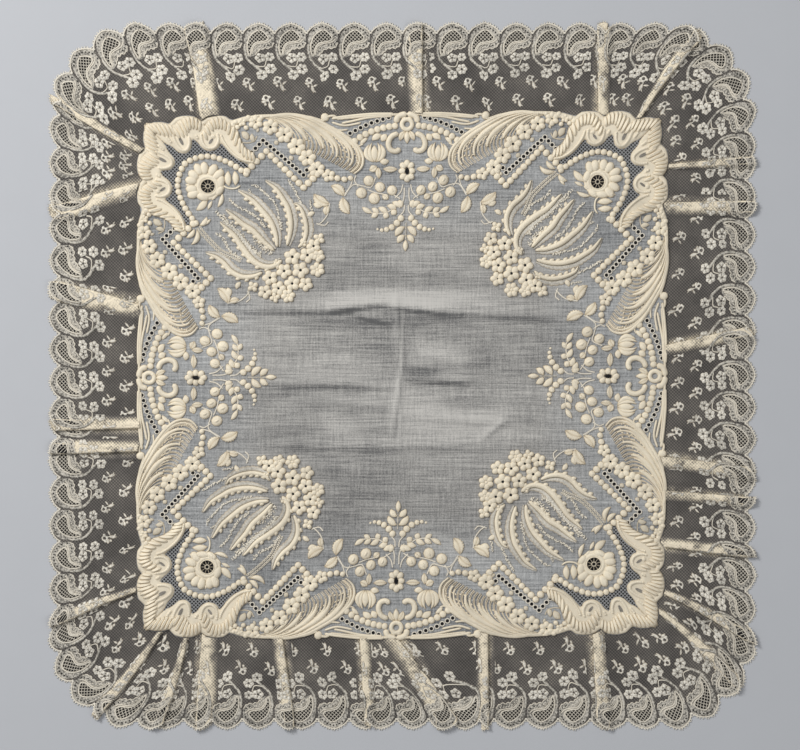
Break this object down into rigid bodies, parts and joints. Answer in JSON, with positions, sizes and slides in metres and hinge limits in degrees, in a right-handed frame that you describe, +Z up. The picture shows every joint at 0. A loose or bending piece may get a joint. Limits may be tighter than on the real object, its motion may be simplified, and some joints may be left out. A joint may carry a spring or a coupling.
{
  "type": "lace handkerchief",
  "caption": "Square handkerchief of sheer cambric with a padded whitework border and a deep scalloped lace edging, spread flat with pressed pleats in the lace.",
  "frame": {"origin": "middle of the underside, on the surface that the handkerchief lies on", "axes": "+Z up out of the cloth, +Y towards the top edge of the handkerchief as pictured, +X to the right"},
  "size_m": [0.4452, 0.4452, 0.0036],
  "materials": {
    "cambric": "sheer plain-weave linen cambric",
    "whitework": "padded satin stitch in soft cream cotton",
    "lace": "fine bobbin lace in aged cream cotton thread"
  },
  "bodies": {
    "root": {"cambric_panel": "cambric", "lace_edging": "lace"}
  },
  "joints": []
}
